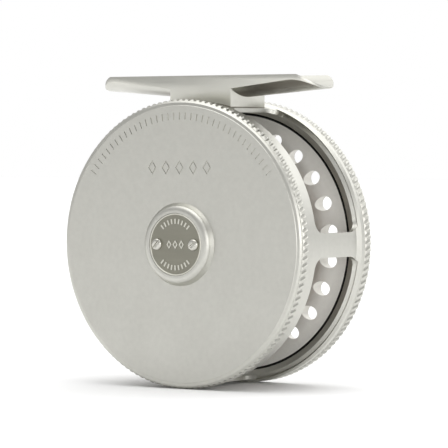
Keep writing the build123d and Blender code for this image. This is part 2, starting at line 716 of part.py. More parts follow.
# ---- spindle and its fastening ---------------------------------------------------------------
TAIL_START = NUT_FLOOR - NUT_WASHER_T - NUT_T
with BuildPart() as spindle:
    with BuildSketch(HALF_SECTION):
        outline(
            (TAIL_START, 0),
            (TAIL_START, TAIL_R - BADGE_CORNER),
            (TAIL_START + BADGE_CORNER, TAIL_R),
            (HUB_PAD_END, TAIL_R),
            (HUB_PAD_END, SPINDLE_FLANGE_R),
            (FLANGE_FACE, SPINDLE_FLANGE_R),
            (FLANGE_FACE, JOURNAL_R),
            (GROOVE_START, JOURNAL_R),
            (GROOVE_START, GROOVE_R),
            (GROOVE_END, GROOVE_R),
            (GROOVE_END, JOURNAL_R),
            (SPINDLE_END - SPINDLE_NOSE, JOURNAL_R),
            (SPINDLE_END, JOURNAL_R - SPINDLE_NOSE),
            (SPINDLE_END, 0),
        )
    revolve(axis=SPIN_AXIS)
finish_part(spindle.part, "spindle")

with BuildPart() as spindle_washer:
    with BuildSketch(HALF_SECTION):
        tube(NUT_FLOOR - NUT_WASHER_T, NUT_FLOOR, NUT_WASHER_R, TAIL_R + FIT)
    revolve(axis=SPIN_AXIS)
finish_part(spindle_washer.part, "spindle_washer")

with BuildPart() as spindle_nut:
    with BuildSketch(station(NUT_FLOOR - NUT_WASHER_T)):
        RegularPolygon(NUT_FLATS / 2, 6, major_radius=False)
        Circle(TAIL_R + FIT, mode=Mode.SUBTRACT)
    extrude(amount=NUT_T)
finish_part(spindle_nut.part, "spindle_nut")

with BuildPart() as thrust_washer:
    with BuildSketch(HALF_SECTION):
        tube(FLANGE_FACE + RUN, FLANGE_FACE + RUN + THRUST_T, THRUST_R, JOURNAL_R + FIT)
    revolve(axis=SPIN_AXIS)
finish_part(thrust_washer.part, "thrust_washer")

# ---- spool -----------------------------------------------------------------------------------
def polar(radius, degrees):
    """Point at an angle about the axle, from +X towards +Z, in a station's own axes."""
    return (radius * cos(radians(degrees)), radius * sin(radians(degrees)))


port_places = [
    polar(PORT_CIRCLE_R, PORT_PHASE + 360 / PORTS * i) for i in range(PORTS) if i != PORTS_TO_HANDLE
]

with BuildPart() as spool:
    with BuildSketch(HALF_SECTION):
        with BuildLine():
            Polyline(
                (ROLL_START, ARBOR_R),
                (SPOOL_START + BACK_FLANGE_T, ARBOR_R),
                (SPOOL_START + BACK_FLANGE_T, SPOOL_R - SPOOL_EDGE),
                (SPOOL_START + BACK_FLANGE_T - SPOOL_EDGE, SPOOL_R),
                (SPOOL_START, SPOOL_R),
                (SPOOL_START, ARBOR_INNER_R),
                (WEB_BACK, ARBOR_INNER_R),
                (WEB_BACK, HUB_R),
                (HUB_FOOT_AT + HUB_FOOT_T, HUB_R),
                (HUB_FOOT_AT + HUB_FOOT_T, HUB_FOOT_R),
                (HUB_FOOT_AT, HUB_FOOT_R),
                (HUB_FOOT_AT, HUB_BORE_R),
                (POCKET_FLOOR, HUB_BORE_R),
                (POCKET_FLOOR, POCKET_R),
                (HOUSING_END, POCKET_R),
                (HOUSING_END, HOUSING_R),
                (WEB_FRONT, HOUSING_R),
                (WEB_FRONT, SPOOL_WALL_R - WEB_COVE),
                (WEB_FRONT + WEB_COVE, SPOOL_WALL_R),
                (SPOOL_FRONT - SPOOL_EDGE, SPOOL_WALL_R),
                (SPOOL_FRONT, SPOOL_WALL_R + SPOOL_EDGE),
                (SPOOL_FRONT, SPOOL_STEP_R - SPOOL_EDGE),
                (SPOOL_FRONT - SPOOL_EDGE, SPOOL_STEP_R),
                (SPOOL_STEP_AT, SPOOL_STEP_R),
                (SPOOL_STEP_AT, SPOOL_R),
                (FLANGE_AT, SPOOL_R),
                (FLANGE_AT, ARBOR_R + CHEEK_ROLL),
            )
            RadiusArc((FLANGE_AT, ARBOR_R + CHEEK_ROLL), (ROLL_START, ARBOR_R), CHEEK_ROLL)
        make_face()
    revolve(axis=SPIN_AXIS)
    with BuildSketch(station(WEB_FRONT)):
        with Locations(polar(PORT_CIRCLE_R, HANDLE_PHASE)):
            Circle(PAD_R)
    extrude(amount=WEB_FRONT - PAD_END)
    with BuildSketch(station(PAD_END)):
        with Locations(polar(PORT_CIRCLE_R, HANDLE_PHASE)):
            Circle(STUD_R + FIT)
    extrude(amount=PAD_END - STUD_SEAT, mode=Mode.SUBTRACT)
    with BuildSketch(station(ROLL_START)):
        with Locations(*port_places):
            Circle(PORT_R)
    extrude(amount=ROLL_START - SPOOL_FRONT, mode=Mode.SUBTRACT)
    with BuildSketch(station(POCKET_FLOOR)):
        with Locations((0, HOUSING_R)):
            Rectangle(LATCH_TAIL_W + 2 * SIDE_GAP, HOUSING_R)
    extrude(amount=POCKET_FLOOR - HOUSING_END, mode=Mode.SUBTRACT)
    with BuildSketch(station(HOUSING_END)):
        with Locations((COVER_SCREW_AT, 0), (-COVER_SCREW_AT, 0)):
            Circle(COVER_SCREW_R + FIT)
    extrude(amount=COVER_SCREW_HOLE, mode=Mode.SUBTRACT)
    with BuildSketch(station(HUB_FOOT_AT)):
        with PolarLocations(GEAR_SCREW_CIRCLE_R, GEAR_SCREWS, start_angle=90):
            Circle(GEAR_SCREW_R + FIT)
    extrude(amount=-GEAR_SCREW_HOLE, mode=Mode.SUBTRACT)
    with BuildSketch(station(WEB_BACK)):
        with Locations(polar(WEIGHT_CIRCLE_R, PORT_PHASE)):
            Circle(WEIGHT_SCREW_R + FIT)
    extrude(amount=-2 * WEB_T, mode=Mode.SUBTRACT)
finish_part(spool.part, "spool")

for name, start, end in (
    ("rear_bush", REAR_BUSH_START, REAR_BUSH_START + BUSH_L),
    ("front_bush", POCKET_FLOOR - BUSH_L, POCKET_FLOOR),
):
    with BuildPart() as bush:
        with BuildSketch(HALF_SECTION):
            tube(start, end, HUB_BORE_R - FIT, JOURNAL_R + RUN)
        revolve(axis=SPIN_AXIS)
    finish_part(bush.part, name)

# ---- click gear --------------------------------------------------------------------------------
TOOTH_H = GEAR_TIP_R - GEAR_ROOT_R + TOOTH_SINK
with BuildPart() as click_gear:
    with BuildSketch(station(HUB_FOOT_AT)):
        Circle(GEAR_ROOT_R)
        with PolarLocations(GEAR_ROOT_R - TOOTH_SINK, GEAR_TEETH):
            outline(
                (0, -TOOTH_FOOT_HALF),
                (TOOTH_H, -TOOTH_TIP_HALF),
                (TOOTH_H, TOOTH_TIP_HALF),
                (0, TOOTH_FOOT_HALF),
            )
        Circle(GEAR_BORE_R, mode=Mode.SUBTRACT)
        with PolarLocations(GEAR_SCREW_CIRCLE_R, GEAR_SCREWS, start_angle=90):
            Circle(GEAR_SCREW_R + FIT, mode=Mode.SUBTRACT)
    extrude(amount=GEAR_T)
finish_part(click_gear.part, "click_gear")

with BuildPart() as gear_screws:
    with BuildSketch(station(HUB_FOOT_AT - GEAR_T)):
        with PolarLocations(GEAR_SCREW_CIRCLE_R, GEAR_SCREWS, start_angle=90):
            Circle(GEAR_SCREW_HEAD_R)
    extrude(amount=GEAR_SCREW_HEAD_H)
    with BuildSketch(station(HUB_FOOT_AT - GEAR_T)):
        with PolarLocations(GEAR_SCREW_CIRCLE_R, GEAR_SCREWS, start_angle=90):
            Circle(GEAR_SCREW_R)
    extrude(amount=-GEAR_SCREW_L)
    with BuildSketch(station(HUB_FOOT_AT - GEAR_T - GEAR_SCREW_HEAD_H)):
        with PolarLocations(GEAR_SCREW_CIRCLE_R, GEAR_SCREWS, start_angle=90):
            Rectangle(3 * GEAR_SCREW_HEAD_R, SLOT_W)
    extrude(amount=-SLOT_D, mode=Mode.SUBTRACT)
finish_part(gear_screws.part, "gear_screws")

# ---- pawls, posts, clips and leaf springs ------------------------------------------------------
with BuildPart() as pawl_posts:
    for start, end, radius in (
        (PLATE_T - POST_SEAT, PLATE_T, POST_R),
        (PLATE_T, POST_SHOULDER, POST_FOOT_R),
        (POST_SHOULDER, POST_END, POST_R),
    ):
        with BuildSketch(station(start)):
            with PolarLocations(POST_CIRCLE_R, len(PAWLS), start_angle=PAWL_PHASE):
                Circle(radius)
        extrude(amount=start - end)
finish_part(pawl_posts.part, "pawl_posts")

with BuildPart() as pawl_clips:
    with BuildSketch(station(PAWL_END + CLIP_T / 2)):
        with PolarLocations(POST_CIRCLE_R, len(PAWLS), start_angle=PAWL_PHASE):
            Circle(POST_R + CLIP_RIM)
            Circle(POST_R + FIT, mode=Mode.SUBTRACT)
            with Locations((-POST_R, 0)):
                Rectangle(2 * POST_R, CLIP_GAP, mode=Mode.SUBTRACT)
    extrude(amount=-CLIP_T)
finish_part(pawl_clips.part, "pawl_clips")

for i, name in enumerate(PAWLS):
    phase = PAWL_PHASE + i * 360 / len(PAWLS)
    with BuildPart() as pawl:
        with BuildSketch(station(PAWL_START)):
            with PolarLocations(POST_CIRCLE_R, 1, start_angle=phase):
                outline(
                    (-PAWL_REACH, -PAWL_TIP_HALF),
                    (-PAWL_REACH, PAWL_TIP_HALF),
                    (-PAWL_NECK, PAWL_HALF_W),
                    (PAWL_SHOULDER, PAWL_HALF_W),
                    (PAWL_BACK, PAWL_BACK_HALF),
                    (PAWL_BACK, -PAWL_BACK_HALF),
                    (PAWL_SHOULDER, -PAWL_HALF_W),
                    (-PAWL_NECK, -PAWL_HALF_W),
                )
                Circle(POST_R + RUN, mode=Mode.SUBTRACT)
        extrude(amount=PAWL_START - PAWL_END)
    finish_part(pawl.part, name)

    with BuildPart() as leaf:
        with BuildSketch(station(PAWL_START)):
            with PolarLocations(POST_CIRCLE_R, 1, start_angle=phase):
                with Locations((LEAF_X, 0)):
                    Rectangle(LEAF_T, 2 * LEAF_HALF_L)
        extrude(amount=PAWL_START - PAWL_END)
        with BuildSketch(station(PLATE_T)):
            with PolarLocations(POST_CIRCLE_R, 1, start_angle=phase):
                with Locations((LEAF_X, LEAF_SCREW_Y)):
                    Rectangle(LEAF_T, LEAF_TAB_W)
        extrude(amount=PLATE_T - PAWL_START)
        with BuildSketch(station(PLATE_T)):
            with PolarLocations(POST_CIRCLE_R, 1, start_angle=phase):
                with Locations((LEAF_TAB_X, LEAF_SCREW_Y)):
                    Rectangle(LEAF_TAB_L, LEAF_TAB_W)
                with Locations((LEAF_SCREW_X, LEAF_SCREW_Y)):
                    Circle(LEAF_SCREW_R + FIT, mode=Mode.SUBTRACT)
        extrude(amount=-LEAF_T)
    finish_part(leaf.part, name + "_spring")

with BuildPart() as spring_screws:
    for start, end, radius in (
        (PLATE_T - POST_SEAT, PLATE_T + LEAF_T, LEAF_SCREW_R),
        (PLATE_T + LEAF_T, PLATE_T + LEAF_T + LEAF_SCREW_HEAD_H, LEAF_SCREW_HEAD_R),
    ):
        with BuildSketch(station(start)):
            with PolarLocations(POST_CIRCLE_R, len(PAWLS), start_angle=PAWL_PHASE):
                with Locations((LEAF_SCREW_X, LEAF_SCREW_Y)):
                    Circle(radius)
        extrude(amount=start - end)
finish_part(spring_screws.part, "spring_screws")

# ---- latch -------------------------------------------------------------------------------------
with BuildPart() as latch_slide:
    with BuildSketch(station(LATCH_START)):
        outline(
            (-LATCH_W / 2, LATCH_FOOT),
            (LATCH_W / 2, LATCH_FOOT),
            (LATCH_W / 2, LATCH_SHOULDER),
            (LATCH_TAIL_W / 2, LATCH_SHOULDER),
            (LATCH_TAIL_W / 2, LATCH_REACH),
            (-LATCH_TAIL_W / 2, LATCH_REACH),
            (-LATCH_TAIL_W / 2, LATCH_SHOULDER),
            (-LATCH_W / 2, LATCH_SHOULDER),
        )
        with Locations((0, LATCH_OFFSET)):
            Circle(LATCH_HOLE_R, mode=Mode.SUBTRACT)
    extrude(amount=-LATCH_T)
    with BuildSketch(station(WEB_FRONT + SIDE_GAP)):
        with Locations((0, LATCH_REACH - LATCH_TAB_T / 2)):
            Rectangle(LATCH_TAB_W, LATCH_TAB_T)
    extrude(amount=-LATCH_TAB_H)
finish_part(latch_slide.part, "latch_slide")

with BuildPart() as latch_cover:
    with BuildSketch(station(HOUSING_END)):
        Circle(HOUSING_R)
        Circle(JOURNAL_R + SPOOL_GAP, mode=Mode.SUBTRACT)
        with Locations((COVER_SCREW_AT, 0), (-COVER_SCREW_AT, 0)):
            Circle(COVER_SCREW_R + FIT, mode=Mode.SUBTRACT)
    extrude(amount=-COVER_T)
    cover_face = faces().filter_by(Plane.XZ).sort_by(Axis.Y)[-1]
    chamfer(cover_face.edges().sort_by(SortBy.RADIUS)[-1], COVER_EDGE)
finish_part(latch_cover.part, "latch_cover")

with BuildPart() as cover_screws:
    for start, end, radius in (
        (HOUSING_END - COVER_SCREW_L, COVER_TOP, COVER_SCREW_R),
        (COVER_TOP, COVER_TOP + COVER_SCREW_HEAD_H, COVER_SCREW_HEAD_R),
    ):
        with BuildSketch(station(start)):
            with Locations((COVER_SCREW_AT, 0), (-COVER_SCREW_AT, 0)):
                Circle(radius)
        extrude(amount=start - end)
finish_part(cover_screws.part, "cover_screws")

SPRING_LOW = -AXLE_DROP - POCKET_R + SPRING_SEAT
SPRING_HIGH = -AXLE_DROP + LATCH_FOOT - RUN
SPRING_RISE = SPRING_HIGH - SPRING_LOW - 2 * SPRING_WIRE_R
with BuildPart() as latch_spring:
    with BuildLine():
        coil = Helix(
            pitch=SPRING_RISE / SPRING_TURNS,
            height=SPRING_RISE,
            radius=SPRING_COIL_R,
            center=(0, LATCH_START + LATCH_T / 2 - FOOT_AT, SPRING_LOW + SPRING_WIRE_R),
        )
    with BuildSketch(Plane(origin=coil @ 0, z_dir=coil % 0)):
        Circle(SPRING_WIRE_R)
    sweep(path=coil)
finish_part(latch_spring.part, "latch_spring")

# ---- handle and counterweight --------------------------------------------------------------------
HANDLE_X, HANDLE_Z = polar(PORT_CIRCLE_R, HANDLE_PHASE)
HANDLE_AXIS = Axis((HANDLE_X, 0, HANDLE_Z - AXLE_DROP), (0, 1, 0))
HANDLE_SECTION = Plane(
    origin=(HANDLE_X, -FOOT_AT, HANDLE_Z - AXLE_DROP), x_dir=(0, 1, 0), z_dir=(1, 0, 0)
)
KNOB_END = KNOB_START + KNOB_L
STUD_END = KNOB_END - KNOB_DISH
KNOB_FLOOR = STUD_END - SIDE_GAP

with BuildPart() as handle_stud:
    with BuildSketch(HANDLE_SECTION):
        outline(
            (STUD_SEAT + RUN, 0),
            (STUD_SEAT + RUN, STUD_R),
            (PAD_END, STUD_R),
            (PAD_END, STUD_SHOULDER_R),
            (STUD_SHOULDER_END, STUD_SHOULDER_R),
            (STUD_SHOULDER_END, KNOB_JOURNAL_R),
            (STUD_END, KNOB_JOURNAL_R),
            (STUD_END, KNOB_SCREW_R + FIT),
            (STUD_END - STUD_TAP, KNOB_SCREW_R + FIT),
            (STUD_END - STUD_TAP, 0),
        )
    revolve(axis=HANDLE_AXIS)
finish_part(handle_stud.part, "handle_stud")

with BuildPart() as handle_screw:
    with BuildSketch(HANDLE_SECTION):
        outline(
            (STUD_END - STUD_TAP + SIDE_GAP, 0),
            (STUD_END - STUD_TAP + SIDE_GAP, KNOB_SCREW_R),
            (STUD_END, KNOB_SCREW_R),
            (STUD_END, KNOB_SCREW_HEAD_R),
            (STUD_END + KNOB_SCREW_HEAD_H / 2, KNOB_SCREW_HEAD_R),
            (STUD_END + KNOB_SCREW_HEAD_H, KNOB_SCREW_HEAD_R - KNOB_EDGE),
            (STUD_END + KNOB_SCREW_HEAD_H, 0),
        )
    revolve(axis=HANDLE_AXIS)
    with BuildSketch(station(STUD_END + KNOB_SCREW_HEAD_H)):
        with Locations((HANDLE_X, HANDLE_Z)):
            Rectangle(3 * KNOB_SCREW_HEAD_R, SLOT_W, rotation=FLUTE_SLANT)
    extrude(amount=SLOT_D, mode=Mode.SUBTRACT)
finish_part(handle_screw.part, "handle_screw")

for name, start, end in (
    ("knob_inner_sleeve", KNOB_START, KNOB_START + KNOB_SLEEVE_L),
    ("knob_outer_sleeve", KNOB_FLOOR - KNOB_SLEEVE_L, KNOB_FLOOR),
):
    with BuildPart() as sleeve:
        with BuildSketch(HANDLE_SECTION):
            tube(start, end, KNOB_SLEEVE_R - FIT, KNOB_JOURNAL_R + RUN)
        revolve(axis=HANDLE_AXIS)
    finish_part(sleeve.part, name)

KNOB_MOUTH_R = KNOB_SCREW_HEAD_R + SIDE_GAP
with BuildPart() as handle_knob:
    with BuildSketch(HANDLE_SECTION):
        with BuildLine():
            Polyline(
                (KNOB_END, KNOB_MOUTH_R),
                (KNOB_FLOOR, KNOB_MOUTH_R),
                (KNOB_FLOOR, KNOB_SLEEVE_R),
                (KNOB_START, KNOB_SLEEVE_R),
                (KNOB_START, KNOB_BASE_R - SPOOL_EDGE),
                (KNOB_START + SPOOL_EDGE, KNOB_BASE_R),
                (KNOB_START + KNOB_COLLAR, KNOB_BASE_R),
            )
            Spline(
                (KNOB_START + KNOB_COLLAR, KNOB_BASE_R),
                (KNOB_START + 0.27 * KNOB_L, KNOB_WAIST_R),
                (KNOB_START + 0.72 * KNOB_L, KNOB_BELLY_R),
                (KNOB_END, KNOB_MOUTH_R + KNOB_EDGE),
                tangents=((0.6, -1), (-0.3, -1)),
            )
            Line((KNOB_END, KNOB_MOUTH_R + KNOB_EDGE), (KNOB_END, KNOB_MOUTH_R))
        make_face()
    revolve(axis=HANDLE_AXIS)
finish_part(handle_knob.part, "handle_knob")

WEIGHT_X, WEIGHT_Z = polar(WEIGHT_CIRCLE_R, PORT_PHASE)
with BuildPart() as counterweight:
    with BuildSketch(station(WEB_FRONT)):
        with Locations((WEIGHT_X, WEIGHT_Z)):
            Circle(WEIGHT_R)
    extrude(amount=-WEIGHT_T)
    chamfer(faces().sort_by(Axis.Y)[-1].edges(), WEIGHT_EDGE)
    with BuildSketch(station(WEB_FRONT)):
        with Locations((WEIGHT_X, WEIGHT_Z)):
            Circle(WEIGHT_SCREW_R + FIT)
    extrude(amount=WEIGHT_CAP - WEIGHT_T, mode=Mode.SUBTRACT)
finish_part(counterweight.part, "counterweight")

with BuildPart() as counterweight_screw:
    with BuildSketch(station(WEB_BACK)):
        with Locations((WEIGHT_X, WEIGHT_Z)):
            Circle(WEIGHT_SCREW_HEAD_R)
    extrude(amount=WEIGHT_SCREW_HEAD_H)
    with BuildSketch(station(WEB_BACK)):
        with Locations((WEIGHT_X, WEIGHT_Z)):
            Circle(WEIGHT_SCREW_R)
    extrude(amount=-WEB_T - WEIGHT_T + WEIGHT_SCREW_HEAD_H)
    with BuildSketch(station(WEB_BACK - WEIGHT_SCREW_HEAD_H)):
        with Locations((WEIGHT_X, WEIGHT_Z)):
            Rectangle(3 * WEIGHT_SCREW_HEAD_R, SLOT_W)
    extrude(amount=-SLOT_D, mode=Mode.SUBTRACT)
finish_part(counterweight_screw.part, "counterweight_screw")
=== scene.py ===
# %% [markdown]
# A single-action fly reel. The CAD model already holds every solid piece at its real size and
# place, in metres, so this lesson starts by loading it as a fixed frame. Everything made later is
# measured from that frame. Nothing is left selected, because an operator acts on all that is
# selected.

# %% Load the frame
import json
from math import cos, radians, sin

import bpy
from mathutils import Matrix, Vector


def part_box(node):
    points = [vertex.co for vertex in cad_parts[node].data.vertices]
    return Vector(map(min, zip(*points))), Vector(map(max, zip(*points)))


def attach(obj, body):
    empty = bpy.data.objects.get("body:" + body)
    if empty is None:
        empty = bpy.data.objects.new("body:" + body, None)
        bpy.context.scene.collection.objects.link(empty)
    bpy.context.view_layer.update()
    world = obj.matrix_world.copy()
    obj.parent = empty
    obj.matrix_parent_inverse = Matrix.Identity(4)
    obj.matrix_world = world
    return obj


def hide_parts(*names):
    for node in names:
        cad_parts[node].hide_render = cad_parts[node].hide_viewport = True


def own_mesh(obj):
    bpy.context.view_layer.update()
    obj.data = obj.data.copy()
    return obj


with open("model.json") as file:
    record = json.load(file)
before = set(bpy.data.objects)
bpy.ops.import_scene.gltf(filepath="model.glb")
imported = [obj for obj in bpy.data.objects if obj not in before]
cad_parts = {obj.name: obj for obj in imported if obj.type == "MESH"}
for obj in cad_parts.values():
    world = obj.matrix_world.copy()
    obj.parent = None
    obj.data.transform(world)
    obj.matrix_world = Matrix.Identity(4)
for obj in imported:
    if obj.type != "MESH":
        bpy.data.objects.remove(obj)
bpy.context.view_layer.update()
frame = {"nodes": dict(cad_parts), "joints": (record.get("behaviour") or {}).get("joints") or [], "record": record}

MM = 0.001
nodes = frame["nodes"]
bpy.ops.object.select_all(action="DESELECT")

# %% [markdown]
# The reel turns about one axle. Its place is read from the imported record: the spool's joint gives a
# point on the axle, and the frame piece's box gives the front face of the ring. The face of the
# back plate lies one cage width behind it, because the badge and its screws don't belong to the
# frame piece.

# %% Places on the reel
CAGE_WIDTH = 31.5 * MM

spool_joint = next(joint for joint in frame["joints"] if joint["name"] == "spool_spin")
AXLE_Z = spool_joint["pos_m"][2]
cage_low, cage_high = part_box("frame")
FRONT_Y = cage_high.y
FACE_Y = FRONT_Y - CAGE_WIDTH
FLOOR_Z = cage_low.z
print("axle height", AXLE_Z, "plate face", FACE_Y, "front", FRONT_Y, "floor", FLOOR_Z)

# %% [markdown]
# The camera stands low and to the right of the back plate, far away with a long lens, so that the
# two rims look almost equally large. An empty target would do the same job, but a direction worked
# out from two angles is shorter and leaves no extra object.

# %% Camera
CAMERA_TURN = radians(34.06)
CAMERA_RISE = radians(1.43)
CAMERA_DISTANCE = 740.28 * MM
CAMERA_LENS = 243.57
AIM = Vector((2.81, -1.30, -33.16)) * MM

level = cos(CAMERA_RISE)
look = Vector((-sin(CAMERA_TURN) * level, cos(CAMERA_TURN) * level, -sin(CAMERA_RISE)))
camera_data = bpy.data.cameras.new("camera")
camera_data.lens = CAMERA_LENS
camera_data.sensor_width = 36.0
camera_data.clip_start = 0.05
camera = bpy.data.objects.new("camera", camera_data)
bpy.context.scene.collection.objects.link(camera)
camera.location = AIM - look * CAMERA_DISTANCE
camera.rotation_euler = look.to_track_quat("-Z", "Y").to_euler()
bpy.context.scene.camera = camera
bpy.context.scene.view_settings.view_transform = "Standard"
print("camera at", camera.location)

# %% [markdown]
# A reel like this is shown on a plain white sweep inside a tent of white cloth. The floor is one
# wide plane just under the rims. Area lights could stand in for the cloth, but each of them leaves
# a hard-edged patch in a metal surface, and a small one shines straight through the cage windows.
# The cloth is therefore painted into the world itself: a base level all round, brighter overhead
# and in a few broad soft patches, each one the direction of a brighter piece of cloth. The
# background behind the reel stays plain white.

# %% Floor
bpy.ops.mesh.primitive_plane_add(size=8.0, location=(0, 0, FLOOR_Z))
floor = bpy.context.object
floor.name = "floor"
bpy.ops.object.transform_apply(location=True)

floor_paint = bpy.data.materials.new("floor_paint")
floor_paint.use_nodes = True
floor_shader = floor_paint.node_tree.nodes["Principled BSDF"]
floor_shader.inputs["Base Color"].default_value = (0.93, 0.93, 0.93, 1)
floor_shader.inputs["Roughness"].default_value = 0.7
floor_shader.inputs["Specular IOR Level"].default_value = 0.2
floor.data.materials.append(floor_paint)
print("floor at", round(FLOOR_Z, 5))

# %% [markdown]
# The light and the finishes both do small sums with nodes. Three helpers cover them all: one piece
# of arithmetic, one soft step from a level to another, and one band that is full inside and empty
# outside.

# %% Helpers that calculate
def combine(tree, kind, first, second):
    """One arithmetic node on two values, or on a value and a number."""
    node = tree.nodes.new("ShaderNodeMath")
    node.operation = kind
    for socket, value in zip(node.inputs, (first, second)):
        if isinstance(value, float):
            socket.default_value = value
        else:
            tree.links.new(value, socket)
    return node.outputs["Value"]


def ramp(tree, value, start, end, low=0.0, high=1.0):
    """A soft step of a value from one level to another."""
    node = tree.nodes.new("ShaderNodeMapRange")
    node.interpolation_type = "SMOOTHSTEP"
    for name, number in (("From Min", start), ("From Max", end), ("To Min", low), ("To Max", high)):
        node.inputs[name].default_value = number
    tree.links.new(value, node.inputs["Value"])
    return node.outputs["Result"]


def between(tree, value, low, high, edge=0.05 * MM):
    """A band of a value: one inside, nothing outside, with soft sides."""
    rise = ramp(tree, value, low - edge, low + edge)
    fall = ramp(tree, value, high - edge, high + edge, 1.0, 0.0)
    return combine(tree, "MULTIPLY", rise, fall)


print("helpers", combine.__name__, ramp.__name__, between.__name__)

# %% [markdown]
# The tent is a sum of soft steps. Each step compares the direction of a ray with one aim, by the
# cosine between the two, and adds light where they are close. Each patch lists its aim, the angle
# in degrees where it is full, the angle where it ends, and its brightness. A ray that comes
# straight from the camera sees at least full white, so the background is clean, while the metal
# sees the real levels.

# %% Tent of light
TENT_BASE = 0.60
TENT_TOP = 2.3
TOP_STARTS = radians(38)
TOP_FULL = radians(85)
TENT_PATCHES = (
    ("right_front", (0.80, -0.60, 0.04), 4, 30, 1.9),
    ("right_side", (0.97, -0.22, 0.10), 6, 24, 1.0),
    ("back_high", (0.10, 0.83, 0.50), 12, 42, 1.1),
)

world = bpy.data.worlds.new("tent")
world.use_nodes = True
tent = world.node_tree
background = tent.nodes["Background"]
background.inputs["Color"].default_value = (1, 1, 1, 1)
direction = tent.nodes.new("ShaderNodeTexCoord").outputs["Generated"]


def toward(aim):
    """How nearly a direction points at a place on the tent: the cosine between the two."""
    node = tent.nodes.new("ShaderNodeVectorMath")
    node.operation = "DOT_PRODUCT"
    node.inputs[1].default_value = Vector(aim).normalized()
    tent.links.new(direction, node.inputs[0])
    return node.outputs["Value"]


glow = ramp(tent, toward((0, 0, 1)), sin(TOP_STARTS), sin(TOP_FULL), TENT_BASE, TENT_TOP)
for name, aim, inner, outer, brightness in TENT_PATCHES:
    patch = ramp(tent, toward(aim), cos(radians(outer)), cos(radians(inner)), 0.0, brightness)
    glow = combine(tent, "ADD", glow, patch)
    print(name, aim, "adds", brightness)

seen = tent.nodes.new("ShaderNodeLightPath").outputs["Is Camera Ray"]
strength = combine(tent, "MAXIMUM", glow, seen)
tent.links.new(strength, background.inputs["Strength"])
bpy.context.scene.world = world

# %% [markdown]
# Every finish starts from a Principled shader and the object coordinates. On a CAD piece these are
# the model's own millimetres, so a pattern keeps its real scale and also knows where on the reel it
# is. Two measures are used again and again: the distance from the axle, and the distance behind the
# plate's face.

# %% Helpers that measure on the reel
def finish_nodes(name, colour, metallic, roughness):
    """A material with a Principled shader, its node tree, and the object coordinates it reads."""
    material = bpy.data.materials.new(name)
    material.use_nodes = True
    tree = material.node_tree
    shader = tree.nodes["Principled BSDF"]
    shader.inputs["Base Color"].default_value = (*colour, 1)
    shader.inputs["Metallic"].default_value = metallic
    shader.inputs["Roughness"].default_value = roughness
    place = tree.nodes.new("ShaderNodeTexCoord")
    return material, tree, shader, place.outputs["Object"]


def axle_distance(tree, place):
    """How far a point is from the spool's axle, in metres."""
    moved = tree.nodes.new("ShaderNodeVectorMath")
    moved.operation = "SUBTRACT"
    moved.inputs[1].default_value = (0, 0, AXLE_Z)
    flat = tree.nodes.new("ShaderNodeVectorMath")
    flat.operation = "MULTIPLY"
    flat.inputs[1].default_value = (1, 0, 1)
    length = tree.nodes.new("ShaderNodeVectorMath")
    length.operation = "LENGTH"
    tree.links.new(place, moved.inputs[0])
    tree.links.new(moved.outputs["Vector"], flat.inputs[0])
    tree.links.new(flat.outputs["Vector"], length.inputs[0])
    return length.outputs["Value"]


def along(tree, place, axis):
    """One coordinate of a point: X along the rod, Y along the axle, Z up."""
    split = tree.nodes.new("ShaderNodeSeparateXYZ")
    tree.links.new(place, split.inputs["Vector"])
    return split.outputs[axis]


def face_depth(tree, place):
    """How far a point lies behind the plate's face, in metres."""
    return combine(tree, "SUBTRACT", along(tree, place, "Y"), FACE_Y)


def line_distance(tree, first, second):
    """How far a point is from a straight line, when its two offsets from the line are known."""
    first_square = combine(tree, "MULTIPLY", first, first)
    second_square = combine(tree, "MULTIPLY", second, second)
    return combine(tree, "SQRT", combine(tree, "ADD", first_square, second_square), 0.0)


print("plate face at", round(FACE_Y, 5), "axle at", round(AXLE_Z, 5))

# %% [markdown]
# Fine blasting leaves a grain of a few hundredths of a millimetre, and handling leaves faint
# patches that are a little shinier. The grain goes into the bump, the patches go into the
# roughness, and a slow change of tone keeps a large face from looking painted. A noise that is
# stretched along one axis makes the fine lines of a brushed or turned face.

# %% Helpers that draw a surface
def noise(tree, place, scale, detail=2.0, stretch=(1, 1, 1)):
    """Noise in object space, stretched along an axis when the finish has a direction."""
    mapping = tree.nodes.new("ShaderNodeMapping")
    mapping.inputs["Scale"].default_value = stretch
    texture = tree.nodes.new("ShaderNodeTexNoise")
    texture.inputs["Scale"].default_value = scale
    texture.inputs["Detail"].default_value = detail
    tree.links.new(place, mapping.inputs["Vector"])
    tree.links.new(mapping.outputs["Vector"], texture.inputs["Vector"])
    return texture.outputs["Fac"]


def spread(tree, value, low, high):
    """Map a noise value to a range, for a roughness or a colour share."""
    remap = tree.nodes.new("ShaderNodeMapRange")
    remap.inputs["From Min"].default_value = 0.3
    remap.inputs["From Max"].default_value = 0.7
    remap.inputs["To Min"].default_value = low
    remap.inputs["To Max"].default_value = high
    tree.links.new(value, remap.inputs["Value"])
    return remap.outputs["Result"]


def bump(tree, shader, height, strength, distance):
    """Fine relief from a height value, added to what the shader already has."""
    node = tree.nodes.new("ShaderNodeBump")
    node.inputs["Strength"].default_value = strength
    node.inputs["Distance"].default_value = distance
    tree.links.new(height, node.inputs["Height"])
    if shader.inputs["Normal"].is_linked:
        tree.links.new(shader.inputs["Normal"].links[0].from_socket, node.inputs["Normal"])
    tree.links.new(node.outputs["Normal"], shader.inputs["Normal"])


def tint(tree, shader, share, colour):
    """Lay a second tone over the base colour, by a share from 0 to 1."""
    mix = tree.nodes.new("ShaderNodeMix")
    mix.data_type = "RGBA"
    base = shader.inputs["Base Color"]
    if base.is_linked:
        tree.links.new(base.links[0].from_socket, mix.inputs["A"])
    else:
        mix.inputs["A"].default_value = base.default_value
    mix.inputs["B"].default_value = (*colour, 1)
    tree.links.new(share, mix.inputs["Factor"])
    tree.links.new(mix.outputs["Result"], base)


